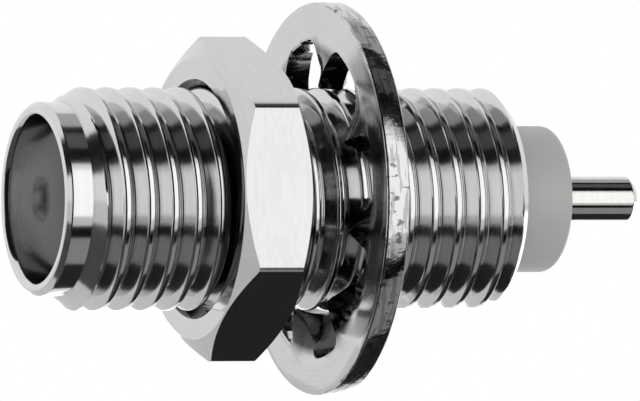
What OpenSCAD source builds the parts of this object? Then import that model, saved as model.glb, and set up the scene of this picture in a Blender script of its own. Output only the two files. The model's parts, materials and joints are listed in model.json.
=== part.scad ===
// Panel-mount coaxial jack. A shell threaded from its nose to its rear end holds a
// straight dielectric and a one-piece contact: a slotted socket in front, a solder pin
// behind. A hex nut and an internal-tooth lock washer run on the thread and clamp it.
// The axis is +X: the mating face is at x = 0 and the solder pin points along +X.

/* [Shell] */
// Length of the shell, mating face to rear end
shell_len = 13.7; // [12:0.1:15]
// Outside diameter of the plain nose
nose_d = 5.4; // [5.3:0.05:5.5]
// Length of the plain nose, mating face to the start of the thread
nose_len = 0.73; // [0.6:0.01:1]
// Chamfer round the outside of the nose
nose_chamfer = 0.13; // [0.05:0.01:0.2]
// Chamfer at the rear end of the thread
rear_chamfer = 0.3; // [0.1:0.05:0.4]
// Bore of the mating socket
socket_d = 4.62; // [4.6:0.01:4.65]
// Depth of the mating socket, mating face to dielectric
socket_depth = 1.95; // [1.9:0.01:2]
// Chamfer round the mouth of the mating socket
mouth_chamfer = 0.07; // [0.05:0.01:0.1]

/* [Thread] */
// Threads per inch
threads_per_inch = 36; // [32, 36, 40]
// Major diameter
thread_d = 6.22; // [6.19:0.01:6.32]
// Distance from the mating face to the centre of the third crest
crest_at = 2.32; // [2.1:0.01:2.6]

/* [Dielectric] */
// Outside diameter, the same as the bore that holds it
dielectric_d = 4.1; // [4:0.02:4.2]
// How far it stands out of the shell's rear end
dielectric_proud = 1.75; // [1:0.05:2.5]
// Radius round its rear edge
dielectric_round = 0.28; // [0.1:0.02:0.4]

/* [Contact] */
// Diameter of the contact and of its solder pin
contact_d = 1.27; // [1.2:0.01:1.3]
// Bore of the slotted socket
contact_bore_d = 0.94; // [0.9:0.01:0.95]
// Depth of the socket bore
contact_bore_depth = 2.6; // [2:0.1:3]
// Width of the two crossed slots
slot_w = 0.16; // [0.12:0.01:0.18]
// How far the socket's tip sits behind the face of the dielectric
contact_recess = 0.1; // [0.05:0.05:0.25]
// Length of the solder pin outside the dielectric
pin_len = 2.55; // [2:0.05:4]
// Diameter of the collar that keeps the contact in the dielectric
collar_d = 1.62; // [1.58:0.02:1.8]

/* [Nut] */
// Width across the flats
nut_flats = 7.94; // [7.8:0.02:8]
// Thickness
nut_thick = 2.03; // [1.6:0.01:2.4]
// Distance from the mating face to the nut
nut_at = 4.75; // [4.5:0.05:5]
// Angle that the nut is turned by
nut_clock = 4.6; // [0:0.1:30]
// Diameter of the chamfer circle on each face
nut_face_d = 7.84; // [7.6:0.02:7.9]
// Diameter of the countersink on each face
countersink_d = 6.7; // [6.5:0.05:7]

/* [Lock washer] */
// Outside diameter
washer_d = 11; // [10.6:0.1:11.2]
// Hole between the tips of the teeth
washer_hole_d = 6.4; // [6.4:0.02:6.5]
// Thickness of the sheet
washer_thick = 0.7; // [0.5:0.05:0.8]
// Distance from the mating face to the washer
washer_at = 8.345; // [8.2:0.005:8.4]
// Number of teeth
tooth_count = 8; // [6:1:9]
// Width of a tooth where it leaves the ring
tooth_w = 1.35; // [1.1:0.05:1.5]
// Angle that each tooth is twisted by at its tip
tooth_twist = 28; // [15:1:32]
// Angle of the first tooth
tooth_clock = 10.5; // [0:0.5:45]
// Radius of the circle that the gaps between the teeth reach
gap_reach = 4.42; // [4.3:0.02:4.6]
// Radius in the corners of each gap
gap_corner = 0.38; // [0.2:0.02:0.45]

/* [Hidden] */
$fn = 96;
eps = 0.01;

pitch = 25.4 / threads_per_inch;
crest_r = thread_d / 2;
groove_depth = 0.61 * pitch;
root_r = crest_r - groove_depth;
groove_w = pitch * 7 / 8;
groove_floor = groove_w - 2 * groove_depth * tan(30);
first_groove = crest_at - 2.5 * pitch;
groove_count = ceil((shell_len - first_groove) / pitch);

dielectric_end = shell_len + dielectric_proud;
contact_tip = socket_depth + contact_recess;
pin_end = dielectric_end + pin_len;
pin_chamfer = 0.18;
collar_len = 0.7;
collar_end = dielectric_end - 0.1;

nut_bore_d = thread_d + 0.08;
tooth_pitch = 360 / tooth_count;
tooth_root = gap_reach + 0.18;
tooth_inner = washer_hole_d / 2 - 0.15;

// Turns a shape made along +Z to lie along +X.
module along_x() {
    rotate([0, 90, 0])
        children();
}

// Revolves a profile of [radius, x] points about the X axis.
module turned(profile) {
    along_x()
        rotate_extrude()
            polygon(profile);
}

// One V groove with a 60 degree angle and a flat floor, centred on its own x = 0.
function groove_profile(over) = [
    [crest_r + over, -groove_w / 2 - over * tan(30)],
    [root_r, -groove_floor / 2],
    [root_r, groove_floor / 2],
    [crest_r + over, groove_w / 2 + over * tan(30)]
];

module thread_grooves() {
    for (i = [0 : groove_count])
        translate([first_groove + i * pitch, 0, 0])
            turned(groove_profile(0.1));
}

module shell_blank() {
    chamfer_rise = crest_r - nose_d / 2;
    turned([
        [0, 0],
        [nose_d / 2 - nose_chamfer, 0],
        [nose_d / 2, nose_chamfer],
        [nose_d / 2, nose_len],
        [crest_r, nose_len + chamfer_rise],
        [crest_r, shell_len - rear_chamfer],
        [crest_r - rear_chamfer, shell_len],
        [0, shell_len]
    ]);
}

// The mating socket, its chamfered mouth and the long bore of the dielectric.
module shell_bore() {
    turned([
        [0, -eps],
        [socket_d / 2 + mouth_chamfer + eps, -eps],
        [socket_d / 2, mouth_chamfer],
        [socket_d / 2, socket_depth],
        [dielectric_d / 2, socket_depth],
        [dielectric_d / 2, shell_len + eps],
        [0, shell_len + eps]
    ]);
}

module shell() {
    color([0.78, 0.78, 0.79])
        difference() {
            shell_blank();
            thread_grooves();
            shell_bore();
        }
}

// The collar's own outline, shared by the contact and the dielectric's bore.
module collar() {
    turned([
        [0, collar_end - collar_len],
        [contact_d / 2, collar_end - collar_len],
        [collar_d / 2, collar_end - collar_len + 0.15],
        [collar_d / 2, collar_end],
        [0, collar_end]
    ]);
}

module dielectric() {
    edge = [for (a = [0 : 15 : 90]) [
        dielectric_d / 2 - dielectric_round * (1 - cos(a)),
        dielectric_end - dielectric_round * (1 - sin(a))
    ]];
    color([0.86, 0.86, 0.84])
        difference() {
            turned(concat([[0, socket_depth], [dielectric_d / 2, socket_depth]], edge,
                [[0, dielectric_end]]));
            translate([socket_depth - eps, 0, 0])
                along_x()
                    cylinder(h = dielectric_end - socket_depth + 2 * eps, d = contact_d);
            collar();
        }
}

module centre_contact() {
    tip_round = 0.12;
    color([0.8, 0.79, 0.76])
        difference() {
            union() {
                turned([
                    [0, contact_tip],
                    [contact_d / 2 - tip_round, contact_tip],
                    [contact_d / 2, contact_tip + tip_round],
                    [contact_d / 2, pin_end - pin_chamfer],
                    [contact_d / 2 - pin_chamfer, pin_end],
                    [0, pin_end]
                ]);
                collar();
            }
            turned([
                [0, contact_tip - eps],
                [contact_bore_d / 2 + 0.06, contact_tip - eps],
                [contact_bore_d / 2, contact_tip + 0.06],
                [contact_bore_d / 2, contact_tip + contact_bore_depth],
                [0, contact_tip + contact_bore_depth + 0.25]
            ]);
            for (a = [45, 135])
                rotate([a, 0, 0])
                    translate([contact_tip - eps, -slot_w / 2, -contact_d])
                        cube([contact_bore_depth - 0.2, slot_w, 2 * contact_d]);
        }
}

// A hexagon with both faces chamfered at 30 degrees, and a plain bore that clears the
// thread's crests. Both ends of the bore are countersunk.
module hex_nut() {
    corner_r = nut_flats / 2 / cos(30);
    fall = (corner_r + 0.1 - nut_face_d / 2) * tan(30);
    sink = (countersink_d - nut_bore_d) / 2;
    color([0.82, 0.82, 0.83])
        translate([nut_at, 0, 0])
            rotate([-nut_clock, 0, 0])
                difference() {
                    intersection() {
                        along_x()
                            cylinder(h = nut_thick, r = corner_r, $fn = 6);
                        turned([
                            [0, 0],
                            [nut_face_d / 2, 0],
                            [corner_r + 0.1, fall],
                            [corner_r + 0.1, nut_thick - fall],
                            [nut_face_d / 2, nut_thick],
                            [0, nut_thick]
                        ]);
                    }
                    turned([
                        [0, -eps],
                        [countersink_d / 2 + eps, -eps],
                        [nut_bore_d / 2, sink],
                        [nut_bore_d / 2, nut_thick - sink],
                        [countersink_d / 2 + eps, nut_thick + eps],
                        [0, nut_thick + eps]
                    ]);
                }
}

// One gap between two teeth: a pocket that reaches out to gap_reach, with round corners.
module tooth_gap() {
    half = tooth_pitch / 2 - asin(tooth_w / 2 / gap_reach);
    corner_r = gap_reach - gap_corner;
    corner_a = half - asin(gap_corner / corner_r);
    tall = washer_thick + 2 * eps;
    wedge_r = gap_reach * 1.2;
    translate([0, 0, -eps]) {
        intersection() {
            cylinder(h = tall, r = gap_reach);
            linear_extrude(height = tall)
                polygon([
                    [0, 0],
                    [wedge_r * cos(corner_a), -wedge_r * sin(corner_a)],
                    [wedge_r * cos(corner_a), wedge_r * sin(corner_a)]
                ]);
        }
        for (s = [-1, 1])
            rotate([0, 0, s * corner_a])
                translate([corner_r, 0, 0])
                    cylinder(h = tall, r = gap_corner, $fn = 48);
    }
}

// One tooth along -X of its own frame: flat where it leaves the ring, twisted at its tip.
module tooth() {
    translate([tooth_root, 0, washer_thick / 2])
        rotate([0, -90, 0])
            linear_extrude(height = tooth_root - tooth_inner, twist = -tooth_twist,
                scale = [1, 0.92], slices = 8, segments = 8, $fn = 8)
                square([washer_thick, tooth_w], center = true);
}

module lock_washer() {
    color([0.74, 0.74, 0.75])
        translate([washer_at, 0, 0])
            along_x()
                difference() {
                    union() {
                        difference() {
                            cylinder(h = washer_thick, d = washer_d, $fn = 128);
                            translate([0, 0, -eps])
                                cylinder(h = washer_thick + 2 * eps, r = gap_reach - gap_corner);
                            for (i = [0 : tooth_count - 1])
                                rotate([0, 0, tooth_clock + (i + 0.5) * tooth_pitch])
                                    tooth_gap();
                        }
                        for (i = [0 : tooth_count - 1])
                            rotate([0, 0, tooth_clock + i * tooth_pitch])
                                tooth();
                    }
                    translate([0, 0, -1])
                        cylinder(h = washer_thick + 2, d = washer_hole_d);
                }
}

shell();
dielectric();
centre_contact();
hex_nut();
lock_washer();
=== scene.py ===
import json
import math

import bmesh
import bpy
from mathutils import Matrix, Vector


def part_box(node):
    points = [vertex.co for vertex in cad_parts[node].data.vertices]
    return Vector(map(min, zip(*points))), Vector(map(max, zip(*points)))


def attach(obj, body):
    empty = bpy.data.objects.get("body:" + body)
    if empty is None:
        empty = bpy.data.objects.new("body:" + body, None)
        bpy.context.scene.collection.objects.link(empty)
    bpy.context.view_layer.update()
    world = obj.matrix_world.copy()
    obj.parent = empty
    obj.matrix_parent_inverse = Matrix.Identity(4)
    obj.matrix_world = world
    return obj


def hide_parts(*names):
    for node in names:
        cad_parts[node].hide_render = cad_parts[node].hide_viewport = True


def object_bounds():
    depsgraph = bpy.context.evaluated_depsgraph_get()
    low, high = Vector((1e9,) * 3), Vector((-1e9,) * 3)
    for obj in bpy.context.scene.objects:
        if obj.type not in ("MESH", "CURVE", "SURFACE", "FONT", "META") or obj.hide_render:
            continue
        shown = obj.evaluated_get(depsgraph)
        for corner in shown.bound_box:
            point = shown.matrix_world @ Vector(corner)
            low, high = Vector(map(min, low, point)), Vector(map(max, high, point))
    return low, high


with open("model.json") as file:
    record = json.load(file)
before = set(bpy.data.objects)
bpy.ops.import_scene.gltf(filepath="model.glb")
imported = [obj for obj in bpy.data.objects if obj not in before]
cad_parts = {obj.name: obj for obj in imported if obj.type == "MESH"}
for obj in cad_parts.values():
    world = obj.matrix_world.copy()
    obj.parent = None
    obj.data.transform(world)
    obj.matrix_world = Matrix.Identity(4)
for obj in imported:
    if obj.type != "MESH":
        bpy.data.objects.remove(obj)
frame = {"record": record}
cad_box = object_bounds()
MM = 0.001

# ---------------------------------------------------------------------------
# Camera
# It looks across the connector, level with its axis, and is swung round towards the
# mating end. The long lens keeps the circles of the thread near true ellipses.
# ---------------------------------------------------------------------------
swing = math.radians(22)
view_width = 17.88 * MM
lens = 900
aim_share = 0.4756
aim_height = -0.04 * MM
length = cad_box[1].x - cad_box[0].x
aim = Vector((aim_share * length, 0, aim_height))
looking = Vector((math.sin(swing), math.cos(swing), 0))

camera_data = bpy.data.cameras.new("camera")
camera_data.lens = lens
camera_data.clip_start = 0.01
camera_data.clip_end = 5
camera = bpy.data.objects.new("camera", camera_data)
distance = view_width * lens / camera_data.sensor_width
camera.location = aim - looking * distance
camera.rotation_euler = looking.to_track_quat("-Z", "Y").to_euler()
bpy.context.collection.objects.link(camera)
bpy.context.scene.camera = camera
bpy.context.scene.view_settings.view_transform = "Standard"

# ---------------------------------------------------------------------------
# Shell
# One turned bar of stainless steel. The thread is cut from the plain nose to the rear
# end, right-handed and 36 to the inch, and the bore steps down behind the socket.
# ---------------------------------------------------------------------------
mounts = {m["name"]: m for m in frame["record"]["mounts"]}
shell_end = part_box("shell")[1].x
crest_r = mounts["coupling_thread"]["dims"]["r_mm"] * MM
socket_r = mounts["mating_socket"]["dims"]["r_mm"] * MM
pitch = 25.4 * MM / 36
groove_depth = 0.61 * pitch
root_r = crest_r - groove_depth
crest_at = 2.32 * MM
nose_r = 2.7 * MM
nose_len = 0.73 * MM
nose_chamfer = 0.13 * MM
nose_step = 0.02 * MM
lead_in = 0.27 * MM
socket_depth = 1.95 * MM
dielectric_r = 2.05 * MM
bore_chamfer = 0.06 * MM
rear_chamfer = 0.3 * MM
rear_land = 0.1 * MM
tool_round = 0.025 * MM
SIDES = 144
ROWS_PER_TURN = 24
MERGE = 1e-7


class Wire:
    """An output socket of a node tree. Arithmetic on it adds Math nodes."""

    def __init__(self, tree, socket=None):
        self.tree = tree
        self.socket = socket

    def node(self, kind, settings=None, links=None, out=0):
        """Adds a node: its settings first, then the value or wire of each socket."""
        made = self.tree.nodes.new(kind)
        for name, value in (settings or {}).items():
            setattr(made, name, value)
        for name, value in (links or {}).items():
            if isinstance(value, Wire):
                self.tree.links.new(value.socket, made.inputs[name])
            else:
                made.inputs[name].default_value = value
        return Wire(self.tree, made.outputs[out])

    def math(self, operation, *others):
        """A Math node with this wire as its first value."""
        values = dict(enumerate((self, *others)))
        return self.node("ShaderNodeMath", {"operation": operation}, values)

    def __add__(self, other):
        return self.math("ADD", other)

    def __sub__(self, other):
        return self.math("SUBTRACT", other)

    def __mul__(self, other):
        return self.math("MULTIPLY", other)

    def __truediv__(self, other):
        return self.math("DIVIDE", other)

    def __rsub__(self, other):
        return self.node("ShaderNodeMath", {"operation": "SUBTRACT"}, {0: other, 1: self})

    __radd__ = __add__
    __rmul__ = __mul__

    def clamp(self, low, high):
        return self.math("MAXIMUM", low).math("MINIMUM", high)

    def xyz(self):
        """The three parts of a vector."""
        parts = self.node("ShaderNodeSeparateXYZ", links={0: self}).socket.node
        return [Wire(self.tree, s) for s in parts.outputs]

    def vector(self, x, y, z):
        return self.node("ShaderNodeCombineXYZ", links={0: x, 1: y, 2: z})

    def noise(self, scale, detail):
        """Noise, read at this vector."""
        return self.node("ShaderNodeTexNoise", links={
            "Vector": self, "Scale": scale, "Detail": detail})

    def mix(self, low, high):
        """A colour between two others, with this wire as the share of the second."""
        return self.node("ShaderNodeMix", {"data_type": "RGBA"}, {0: self, 6: low, 7: high}, 2)


def placed(name, mesh=None):
    """A linked object with a mesh of its own name, or with the given one."""
    piece = bpy.data.objects.new(name, mesh or bpy.data.meshes.new(name))
    bpy.context.collection.objects.link(piece)
    return piece


def as_mesh(piece, modifier):
    """Gives a piece the plain mesh that its one modifier makes, and removes that."""
    ready = piece.evaluated_get(bpy.context.evaluated_depsgraph_get())
    plain = bpy.data.meshes.new_from_object(ready)
    piece.modifiers.remove(modifier)
    piece.data = plain


def new_tree(name, inputs):
    """A geometry tree with the named inputs, and a wire for each."""
    tree = bpy.data.node_groups.new(name, "GeometryNodeTree")
    tree.interface.new_socket("Geometry", in_out="OUTPUT", socket_type="NodeSocketGeometry")
    for title, kind in inputs.items():
        tree.interface.new_socket(title, in_out="INPUT", socket_type="NodeSocket" + kind)
    source = tree.nodes.new("NodeGroupInput")
    return tree, {title: Wire(tree, source.outputs[title]) for title in inputs}


def end_tree(geometry, material):
    """Ends a geometry tree: instances made real, the seams merged, the material set."""
    whole = geometry.node("GeometryNodeRealizeInstances", links={"Geometry": geometry})
    whole = whole.node("GeometryNodeMergeByDistance", links={
        "Geometry": whole, "Distance": MERGE})
    whole = whole.node("GeometryNodeSetMaterial", links={
        "Geometry": whole, "Material": material})
    sink = geometry.tree.nodes.new("NodeGroupOutput")
    geometry.tree.links.new(whole.socket, sink.inputs[0])


def grown(name, tree, sizes, mesh=None):
    """Runs a geometry tree with its named sizes and returns the plain mesh's object."""
    piece = placed(name, mesh)
    grow = piece.modifiers.new(name, "NODES")
    grow.node_group = tree
    for item in tree.interface.items_tree:
        if item.in_out == "INPUT" and item.name in sizes:
            grow[item.identifier] = sizes[item.name]
    as_mesh(piece, grow)
    if piece.data.materials[0] is None:
        piece.data.materials.pop(index=0)
    return piece


def thread_tree():
    """An open tube along X with a 60 degree thread. Side is 1 outside and -1 inside."""
    tree, size = new_tree("screw_thread", {
        "Start": "Float", "End": "Float", "Start radius": "Float", "End radius": "Float",
        "Crest radius": "Float", "Depth": "Float", "Pitch": "Float", "Crest at": "Float",
        "Side": "Float", "Sides": "Int", "Rows per turn": "Int", "Material": "Material",
    })
    start, end, side, step = size["Start"], size["End"], size["Side"], size["Pitch"]
    first = size["Crest at"] - ((size["Crest at"] - start) / step).math("CEIL") * step
    turns = ((end - first) / step).math("CEIL") + 1
    # A tenth over the whole number, so that the count is never rounded down.
    grid = start.node("GeometryNodeMeshGrid", links={
        "Size X": 1.0, "Size Y": 1.0, "Vertices X": turns * size["Rows per turn"] + 1.1,
        "Vertices Y": size["Sides"] + 1.1})
    across, around, _ = start.node("GeometryNodeInputPosition").xyz()
    turn = around + 0.5
    # The rows follow the helix, so each crest and root runs along the grid. Those past
    # an end are drawn back onto it.
    x = first - step + (across + 0.5) * turns * step + turn * step
    x = x.clamp(start, end)
    phase = ((x - first) / step - turn).math("FRACT")
    off_crest = (0.5 - (phase - 0.5).math("ABSOLUTE")) * step
    half_crest = step / 9
    edge = 0.035 * MM
    crest_edge = edge * 1.7
    fall = (off_crest - half_crest) / math.tan(math.radians(30))
    fall = fall.math("SMOOTH_MAX", 0.0, crest_edge).math("SMOOTH_MIN", size["Depth"], edge)
    at_start = side * size["Start radius"] + (x - start)
    at_end = side * size["End radius"] + (end - x)
    radius = side * (size["Crest radius"] - fall)
    radius = side * radius.math("SMOOTH_MIN", at_start, edge).math("SMOOTH_MIN", at_end, edge)
    angle = turn * math.tau
    place = x.vector(x, radius * angle.math("SINE") * -1, radius * angle.math("COSINE"))
    tube = x.node("GeometryNodeSetPosition", links={"Geometry": grid, "Position": place})
    end_tree(tube, size["Material"])
    return tree


def softened(profile, radius, steps=3):
    """An open profile of (x, r) points with its corners rounded. A point held close to
    each side of a corner keeps the shading of the straight parts even."""
    held = 1.25
    most = 2.6  # over twice what is held, so that the rounds of a short side never meet
    points = [Vector(p) for p in profile]
    out = [points[0]]
    for before, corner, after in zip(points, points[1:], points[2:]):
        one, two = before - corner, after - corner
        reach = min(radius, one.length / most, two.length / most)
        one, two = one.normalized() * reach, two.normalized() * reach
        out.append(corner + one * held)
        for i in range(steps + 1):
            t = i / steps
            out.append((corner + one).lerp(corner, t).lerp(corner.lerp(corner + two, t), t))
        out.append(corner + two * held)
    return out + [points[-1]]


def skinned(bm, rings):
    """Joins each ring of points to the next one with faces."""
    for ring, following in zip(rings, rings[1:]):
        for i in range(len(ring)):
            j = (i + 1) % len(ring)
            corners = dict.fromkeys((ring[i], ring[j], following[j], following[i]))
            bm.faces.new(corners)


def revolve(bm, profile, sides=SIDES):
    """Adds a profile of (x, r) points turned about X. A point at r = 0 closes the end."""
    rings = []
    for x, r in profile:
        if r < 1e-9:
            rings.append([bm.verts.new((x, 0, 0))] * sides)
            continue
        turns = [math.tau * (i / sides) for i in range(sides)]
        rings.append([bm.verts.new((x, -r * math.sin(a), r * math.cos(a))) for a in turns])
    skinned(bm, rings)


def closed_up(bm):
    """Joins the two ends of a threaded tube to the two ends of the turned part."""
    open_edges = [e for e in bm.edges if e.is_boundary]
    places = [e.verts[0].co.x for e in open_edges]
    middle = (min(places) + max(places)) / 2
    for ahead in (True, False):
        end = [e for e in open_edges if (e.verts[0].co.x > middle) == ahead]
        bmesh.ops.bridge_loops(bm, edges=end)


def shaded(piece, sharp=35):
    """Smooth shading, but for the edges sharper than an angle."""
    piece.data.shade_smooth()
    piece.data.set_sharp_from_angle(angle=math.radians(sharp))


def sealed(piece, bm, sharp=35):
    """Writes a closed mesh to its piece, with outward faces and smooth rounds."""
    bmesh.ops.remove_doubles(bm, verts=bm.verts, dist=MERGE)
    bmesh.ops.dissolve_degenerate(bm, dist=MERGE, edges=bm.edges)
    bmesh.ops.recalc_face_normals(bm, faces=bm.faces)
    for face in bm.faces:
        face.material_index = 0
    bm.to_mesh(piece.data)
    bm.free()
    shaded(piece, sharp)


def tinted(colour, share):
    """A colour made darker or lighter, with its alpha."""
    return (*[min(1, c * share) for c in colour], 1)


def surface(name):
    """A material, with wires for the place on the piece, its parts and the radius."""
    material = bpy.data.materials.new(name)
    material.use_nodes = True
    at = Wire(material.node_tree).node("ShaderNodeTexCoord", out=3)
    x, y, z = at.xyz()
    return material, at, x, y, z, (y * y + z * z).math("SQRT")


def finished(material, colour, roughness, height, grain):
    """Gives a material its colour, its gloss and a fine relief."""
    relief = 0.004 * MM
    bump = height.node("ShaderNodeBump", links={
        "Strength": grain, "Distance": relief, "Height": height})
    shader = material.node_tree.nodes["Principled BSDF"]
    for wire, name in ((colour, "Base Color"), (roughness, "Roughness"), (bump, "Normal")):
        material.node_tree.links.new(wire.socket, shader.inputs[name])
    return material


def metal(name, colour, roughness, grain, along=0.0, painted_shade=None, sheared=None):
    """Bright metal with the fine rings that turning leaves, and a slightly uneven polish.
    Painted shade, the dark of hollows put into the colour, lies outside an inner radius,
    thins out from a low to a high one, and starts at an x. It leaves a share of the colour.
    Outside the sheared radius the rim is torn."""
    material, at, x, y, z, off_axis = surface(name)
    material.node_tree.nodes["Principled BSDF"].inputs["Metallic"].default_value = 1
    turned = 9000
    rings = at.vector(x * turned, off_axis * turned, x * along).noise(1.0, 3.0)
    cloud = at.noise(900.0, 4.0)
    tone = (cloud - 0.5) * 0.5 + (rings - 0.5) * 0.5 + 0.5
    base = tone.mix(tinted(colour, 0.75), tinted(colour, 1))
    height = rings + cloud * 0.4
    # Painted shade: the colour is darkened where the surface lies in a hollow, as shade would
    # darken it.
    if painted_shade:
        inner, low, high, past, share = painted_shade
        unshaded = ((off_axis - low) / (high - low)).clamp(0.0, 1.0)
        ahead = ((past - x) / (0.04 * MM)).clamp(0.0, 1.0)
        within = ((inner - off_axis) / (0.05 * MM)).clamp(0.0, 1.0)
        unshaded = unshaded.math("MAXIMUM", ahead).math("MAXIMUM", within)
        base = unshaded.mix(tinted(colour, share), base)
    if sheared:
        # Pits where the punch tore the sheet, and lines that it drew across the rim.
        rim = ((off_axis - sheared) / (0.03 * MM)).clamp(0.0, 1.0)
        torn = at.vector(x * 2600, y * 4200, z * 4200).noise(1.0, 4.0)
        drawn = at.vector(x * 9000, y * 1300, z * 1300).noise(1.0, 3.0)
        pits = ((torn - 0.58) / 0.08).clamp(0.0, 0.8)
        marks = pits.math("MAXIMUM", ((drawn - 0.5) / 0.12).clamp(0.0, 0.4)) * rim
        base = marks.mix(base, tinted(colour, 0.1))
        height = height + (torn + drawn) * rim * 4
    return finished(material, base, (cloud - 0.5) * 0.12 + roughness, height, grain)


# Painted shade in the thread roots: their colour is darkened to 0.8 of itself, but not in the
# bore or on the nose.
steel = metal("turned_steel", (0.73, 0.73, 0.74), 0.13, 0.35,
              painted_shade=(root_r - 0.1 * MM, root_r + 0.02 * MM, root_r + 0.1 * MM, nose_len, 0.8))
screw_thread = thread_tree()
shell = grown("shell_body", screw_thread, {
    "Start": nose_len, "End": shell_end, "Start radius": nose_r,
    "End radius": crest_r - rear_chamfer, "Crest radius": crest_r, "Depth": groove_depth,
    "Pitch": pitch, "Crest at": crest_at - pitch / 4, "Side": 1.0, "Sides": SIDES,
    "Rows per turn": ROWS_PER_TURN, "Material": steel,
})
shell_mesh = bmesh.new()
shell_mesh.from_mesh(shell.data)
mouth = [(lead_in * (math.sin(math.pi / 4) - math.sin(a)),
          socket_r + lead_in * (1 - math.cos(a)))
         for a in (math.radians(45 - 5 * i) for i in range(10))]
revolve(shell_mesh, softened([
    (nose_len - nose_step, nose_r),
    (nose_chamfer, nose_r),
    (0, nose_r - nose_chamfer),
    *mouth,
    (socket_depth, socket_r),
    (socket_depth, dielectric_r),
    (shell_end - bore_chamfer, dielectric_r),
    (shell_end, dielectric_r + bore_chamfer),
    (shell_end, root_r - rear_land),
], tool_round))
closed_up(shell_mesh)
sealed(shell, shell_mesh)
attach(shell, "jack")
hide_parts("shell")

# ---------------------------------------------------------------------------
# Dielectric
# A rod of white fluoropolymer turned to fit the shell's bore. It stands out of the
# rear end with a rounded edge, and its front face is the floor of the mating socket.
# ---------------------------------------------------------------------------
pin_r = mounts["solder_pin"]["dims"]["r_mm"] * MM
rod_front, rod_back = (corner.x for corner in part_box("dielectric"))
rod_chamfer = 0.03 * MM
rod_round = 0.28 * MM
hole_chamfer = 0.04 * MM
ROUND_SIDES = 96


def waxy(name, colour):
    """Fluoropolymer: milky, soft-edged, with faint rings from the lathe."""
    material, at, x, _, _, off_axis = surface(name)
    turned = 7000
    rings = at.vector(x * turned, off_axis * turned, 0.0).noise(1.0, 2.0)
    cloud = at.noise(600.0, 3.0)
    tone = rings * 0.4 + cloud * 0.6
    base = tone.mix(tinted(colour, 0.93), tinted(colour, 1.05))
    return finished(material, base, cloud * 0.2 + 0.4, rings + cloud, 0.3)


dielectric = placed("dielectric_rod")
dielectric.data.materials.append(waxy("fluoropolymer", (0.48, 0.48, 0.47)))
rod = [(rod_front, pin_r), (rod_front, dielectric_r - rod_chamfer),
       (rod_front + rod_chamfer, dielectric_r)]
rod += [(rod_back - rod_round + rod_round * math.sin(a),
         dielectric_r - rod_round + rod_round * math.cos(a))
        for a in (math.radians(15 * i) for i in range(7))]
rod += [(rod_back, pin_r + hole_chamfer), (rod_back - hole_chamfer, pin_r),
        (rod_front, pin_r)]
dielectric_mesh = bmesh.new()
revolve(dielectric_mesh, rod, ROUND_SIDES)
sealed(dielectric, dielectric_mesh)
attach(dielectric, "jack")
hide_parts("dielectric")

# ---------------------------------------------------------------------------
# Centre contact
# One plated pin through the dielectric: a slotted socket behind the mating face, and a
# straight solder pin with a chamfered end.
# ---------------------------------------------------------------------------
tip, pin_end = (corner.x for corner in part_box("centre_contact"))
contact_bore_r = mounts["contact_socket"]["dims"]["r_mm"] * MM
bore_floor = tip + 2.6 * MM
drill_point = 0.25 * MM
mouth_chamfer = 0.06 * MM
tip_chamfer = 0.08 * MM
pin_chamfer = 0.18 * MM
contact_round = 0.03 * MM
slot_width = 0.16 * MM
slot_length = 2.4 * MM

contact = placed("contact_pin")
contact.data.materials.append(metal("plated_contact", (0.74, 0.73, 0.71), 0.1, 0.25))
contact_mesh = bmesh.new()
revolve(contact_mesh, softened([
    (bore_floor + drill_point, 0),
    (bore_floor, contact_bore_r),
    (tip + mouth_chamfer, contact_bore_r),
    (tip, contact_bore_r + mouth_chamfer),
    (tip, pin_r - tip_chamfer),
    (tip + tip_chamfer, pin_r),
    (pin_end - pin_chamfer, pin_r),
    (pin_end, pin_r - pin_chamfer),
    (pin_end, 0),
], contact_round), ROUND_SIDES)
sealed(contact, contact_mesh)
# Two saw cuts across the end leave four spring fingers.
for tilt in (45, 135):
    saw = placed("saw")
    saw_mesh = bmesh.new()
    bmesh.ops.create_cube(saw_mesh, size=1)
    blade = (slot_length * 2, slot_width, pin_r * 3)
    bmesh.ops.scale(saw_mesh, vec=blade, verts=saw_mesh.verts)
    saw_mesh.to_mesh(saw.data)
    saw_mesh.free()
    saw.location.x = tip
    saw.rotation_euler.x = math.radians(tilt)
    cut = contact.modifiers.new("slot", "BOOLEAN")
    cut.object = saw
    cut.operation = "DIFFERENCE"
    as_mesh(contact, cut)
    bpy.data.objects.remove(saw)
shaded(contact)
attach(contact, "jack")
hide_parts("centre_contact")

# ---------------------------------------------------------------------------
# Hex nut
# A thin nut, 5/16 inch across its flats, faced and chamfered on both sides. Its thread
# meshes with the shell's, so it stays in the groove as it turns.
# ---------------------------------------------------------------------------
nut_front, nut_back = (corner.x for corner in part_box("hex_nut"))
nut_flat_r = 3.97 * MM
nut_face_r = 3.92 * MM
nut_round = 0.25 * MM
nut_clock = math.radians(4.6)
nut_slope = math.tan(math.radians(30))
countersink_r = 3.35 * MM
thread_gap = 0.03 * MM
crest_cut = 0.08 * MM
# Painted shade: the countersink and the thread inside it are darkened almost to black.
nut_steel = metal("nut_steel", (0.66, 0.66, 0.67), 0.11, 0.2,
                  painted_shade=(0, countersink_r - 0.02 * MM, countersink_r, 0, 0.08))

nut = grown("nut_body", screw_thread, {
    "Start": nut_front, "End": nut_back, "Start radius": countersink_r,
    "End radius": countersink_r, "Crest radius": crest_r + thread_gap,
    "Depth": groove_depth - crest_cut, "Pitch": pitch, "Crest at": crest_at - pitch / 4,
    "Side": -1.0, "Sides": SIDES, "Rows per turn": ROWS_PER_TURN, "Material": nut_steel,
})
nut_mesh = bmesh.new()
nut_mesh.from_mesh(nut.data)


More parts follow.
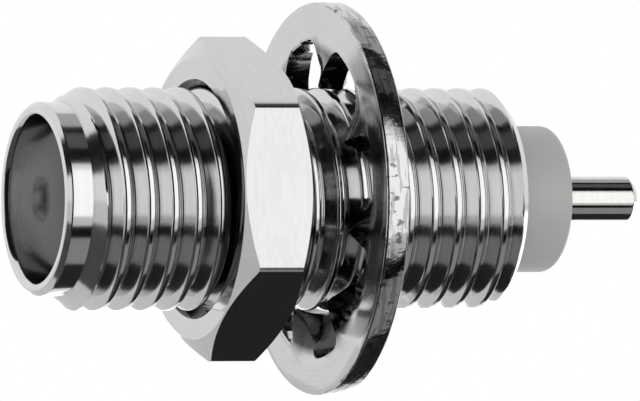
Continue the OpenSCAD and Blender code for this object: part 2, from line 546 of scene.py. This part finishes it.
def hexagon(bm, low, high):
    """The outside of the nut as rings of points, from one face to the other."""
    outline = []
    reach = (nut_flat_r - nut_round) * math.tan(math.radians(30))
    for flat in (math.radians(60 * i) for i in range(6)):
        # Half a flat each side of its middle, then the rounded corner that follows it.
        for k in range(15):
            outline.append((nut_flat_r, reach * (k / 7 - 1), flat))
        for a in (math.radians(6 * k) for k in range(1, 10)):
            outline.append((nut_flat_r - nut_round + nut_round * math.cos(a),
                            reach + nut_round * math.sin(a), flat))
    rings = [[] for _ in range(4)]
    for out, along, flat in outline:
        r = math.hypot(out, along)
        turned = flat + math.atan2(along, out) - nut_clock + math.pi / 2
        fall = (r - nut_face_r) * nut_slope
        steps = ((low, nut_face_r), (low + fall, r), (high - fall, r), (high, nut_face_r))
        for ring, (x, far) in zip(rings, steps):
            ring.append(bm.verts.new((x, -far * math.sin(turned), far * math.cos(turned))))
    skinned(bm, rings)


hexagon(nut_mesh, nut_front, nut_back)
closed_up(nut_mesh)
sealed(nut, nut_mesh, 25)
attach(nut, "nut")
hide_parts("hex_nut")

# ---------------------------------------------------------------------------
# Lock washer
# Punched from spring-steel sheet. Each inward tooth is twisted about its own radius,
# so that one edge bites the nut and the other the wall.
# ---------------------------------------------------------------------------
washer_low, washer_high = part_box("lock_washer")
washer_r = washer_high.z
washer_mid = (washer_low.x + washer_high.x) / 2
washer_half = 0.35 * MM
washer_hole_r = 3.2 * MM
gap_reach = 4.42 * MM
gap_corner = 0.38 * MM
tooth_w = 1.35 * MM
tooth_taper = 0.92
tooth_twist = math.radians(28)
tooth_clock = math.radians(10.5)
twist_root = gap_reach + 0.1 * MM
TEETH = 8
half_share = math.tau / TEETH / 2
rim_round = 0.1 * MM
edge_cut = 0.05 * MM


def half_gap():
    """Half the outline of a gap and a tooth, from the gap's middle to the tooth's."""
    side_a = math.asin(tooth_w / 2 / gap_reach)
    corner_c = gap_reach - gap_corner
    corner_a = half_share - side_a - math.asin(gap_corner / corner_c)
    points = []
    for i in range(7):
        a = half_share - corner_a * i / 6
        points.append((gap_reach * math.sin(a), gap_reach * math.cos(a)))
    centre_a = half_share - corner_a
    centre = Vector((corner_c * math.sin(centre_a), corner_c * math.cos(centre_a)))
    for i in range(1, 7):
        a = centre_a - (math.pi / 2 + centre_a) * i / 6
        points.append((centre.x + gap_corner * math.sin(a),
                       centre.y + gap_corner * math.cos(a)))
    side, top = points[-1]
    for t in (i / 8 for i in range(1, 9)):
        points.append((side * (1 + (tooth_taper - 1) * t), top + (washer_hole_r - top) * t))
    tip_a = math.atan2(points[-1][0], washer_hole_r)
    for i in range(1, 4):
        a = tip_a * (1 - i / 3)
        points.append((washer_hole_r * math.sin(a), washer_hole_r * math.cos(a)))
    return points


def twisted(x, y, z):
    """Turns a point of the flat sheet with the tooth that it belongs to."""
    t = (twist_root - math.hypot(y, z)) / (twist_root - washer_hole_r)
    t = min(1, max(0, t))
    a = tooth_twist * t * t * (3 - 2 * t)
    return x * math.cos(a) + y * math.sin(a), -x * math.sin(a) + y * math.cos(a), z


def washer_sector():
    """One tooth with its share of the ring, along +Z, open where it meets the next."""
    right = half_gap()
    inner = [(-y, z) for y, z in right] + [(y, z) for y, z in reversed(right[:-1])]
    last = len(inner) - 1
    steps = 9
    wall = washer_half - edge_cut
    bm = bmesh.new()
    loops = []
    for i, (y, z) in enumerate(inner):
        a = -half_share + 2 * half_share * i / last
        out = Vector((math.sin(a), math.cos(a)))
        outer = out * (washer_r - rim_round)
        across = [Vector((y, z)).lerp(outer, (k / steps) ** 1.3) for k in range(steps + 1)]
        burr = (across[1] - across[0]).normalized() * edge_cut
        section = [(-wall, across[0]), (-washer_half, across[0] + burr)]
        section += [(-washer_half, p) for p in across[1:]]
        # Round the rim from one face to the other, with a straight wall in the middle.
        for k in range(1, 12):
            turn = math.radians(15 * k)
            side = (washer_half - rim_round) * ((k > 6) - (k < 6))
            section.append((side - rim_round * math.cos(turn),
                            out * (washer_r - rim_round + rim_round * math.sin(turn))))
        section += [(washer_half, p) for p in reversed(across[1:])]
        section += [(washer_half, across[0] + burr), (wall, across[0])]
        loops.append([bm.verts.new(twisted(x, *p)) for x, p in section])
    skinned(bm, loops)
    bmesh.ops.translate(bm, vec=(washer_mid, 0, 0), verts=bm.verts)
    mesh = bpy.data.meshes.new("washer_sector")
    bm.to_mesh(mesh)
    bm.free()
    return mesh


def ring_tree():
    """Repeats a sector round the X axis."""
    tree, size = new_tree("ring_of_teeth", {
        "Sector": "Geometry", "Count": "Int", "First angle": "Float",
        "Material": "Material"})
    count = size["Count"]
    spots = count.node("GeometryNodePoints", links={"Count": count})
    index = count.node("GeometryNodeInputIndex")
    angle = size["First angle"] + index * math.tau / count
    ring = count.node("GeometryNodeInstanceOnPoints", links={
        "Points": spots, "Instance": size["Sector"],
        "Rotation": count.vector(angle, 0.0, 0.0)})
    end_tree(ring, size["Material"])
    return tree


# Painted shade: the teeth and the ring round the gaps are darkened almost to black.
washer_steel = metal("washer_steel", (0.65, 0.65, 0.66), 0.13, 0.6, 4000,
                     painted_shade=(0, gap_reach - 0.25 * MM, gap_reach + 0.02 * MM, 0, 0.08),
                     sheared=washer_r - 0.08 * MM)
washer = grown("washer_body", ring_tree(), {
    "Count": TEETH, "First angle": tooth_clock, "Material": washer_steel}, washer_sector())
washer_mesh = bmesh.new()
washer_mesh.from_mesh(washer.data)
sealed(washer, washer_mesh, 40)
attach(washer, "washer")
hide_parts("lock_washer")

# ---------------------------------------------------------------------------
# Studio
# A pale floor under white surroundings, one soft box beside the camera, and long cards
# round the connector's axis that give the bright metal its light and dark bands.
# ---------------------------------------------------------------------------
floor_drop = 45 * MM
floor_half = 1.5
world_light = 0.8


def glow(name, strength):
    """A plain surface that shows one brightness."""
    material = bpy.data.materials.new(name)
    material.use_nodes = True
    tree = material.node_tree
    tree.nodes.clear()
    out = tree.nodes.new("ShaderNodeOutputMaterial")
    light = Wire(tree).node("ShaderNodeEmission", links={
        "Color": (1, 1, 1, 1), "Strength": strength})
    tree.links.new(light.socket, out.inputs["Surface"])
    return material


def card(name, low, high, strength, reach=(6, 260), away=40):
    """A card along X between two angles, counted from the camera's side upwards.
    Its reach along X and its distance from the axis are in millimetres."""
    steps = 12
    bm = bmesh.new()
    rows = []
    for i in range(steps + 1):
        a = math.radians(low + (high - low) * i / steps)
        y, z = -away * MM * math.cos(a), away * MM * math.sin(a)
        rows.append([bm.verts.new((x * MM, y, z)) for x in reach])
    for row, following in zip(rows, rows[1:]):
        bm.faces.new((row[0], row[1], following[1], following[0]))
    piece = placed(name)
    bm.to_mesh(piece.data)
    bm.free()
    piece.data.materials.append(glow(name, strength))
    piece.visible_camera = False
    piece.visible_diffuse = False
    piece.visible_shadow = False


card("card_top", 93, 120, 0.5)
card("card_overhead", 82, 93, 0.015)
card("card_high", 61, 82, 0.11)
card("card_upper", 41, 61, 0.006)
card("card_line", -45.5, -31, 0.0)
card("card_low", -81, -45.5, 0.3)
card("card_join", -84, -81, 0.0)
card("card_under", -131, -84, 0.025)
card("card_bounce", -146, -131, 1.0)
card("card_bounce_back", -170, -146, 1.8)
card("card_bright", -20, 34, 1.45, away=41)
# The dark side that the camera stands in.
card("card_camera", -45, 45, 0.01, (-60, 5), 39)
card("card_camera_high", 45, 95, 0.01, (-88, 5), 39)
card("card_camera_low", -118, -45, 0.08, (-88, 5), 39)

floor = placed("floor")
floor_mesh = bmesh.new()
bmesh.ops.create_grid(floor_mesh, x_segments=1, y_segments=1, size=floor_half)
bmesh.ops.translate(floor_mesh, vec=(0, 0, -floor_drop), verts=floor_mesh.verts)
floor_mesh.to_mesh(floor.data)
floor_mesh.free()
floor_paint = bpy.data.materials.new("floor_paint")
floor_paint.use_nodes = True
paint = floor_paint.node_tree.nodes["Principled BSDF"]
paint.inputs["Base Color"].default_value = (0.9, 0.9, 0.9, 1)
paint.inputs["Roughness"].default_value = 0.9
floor.data.materials.append(floor_paint)

# White where it is seen, mirrored or looked through, and a little dimmer as a lamp.
world = bpy.data.worlds.new("studio")
bpy.context.scene.world = world
world.use_nodes = True
world_tree = world.node_tree
path = Wire(world_tree).node("ShaderNodeLightPath").socket.node
seen = Wire(world_tree, path.outputs["Is Camera Ray"])
seen = seen + Wire(world_tree, path.outputs["Is Glossy Ray"])
seen = (seen + Wire(world_tree, path.outputs["Is Transmission Ray"])).math("MINIMUM", 1.0)
backdrop = world_tree.nodes["Background"]
backdrop.inputs["Color"].default_value = (1, 1, 1, 1)
strength = seen * (1 - world_light) + world_light
world_tree.links.new(strength.socket, backdrop.inputs["Strength"])
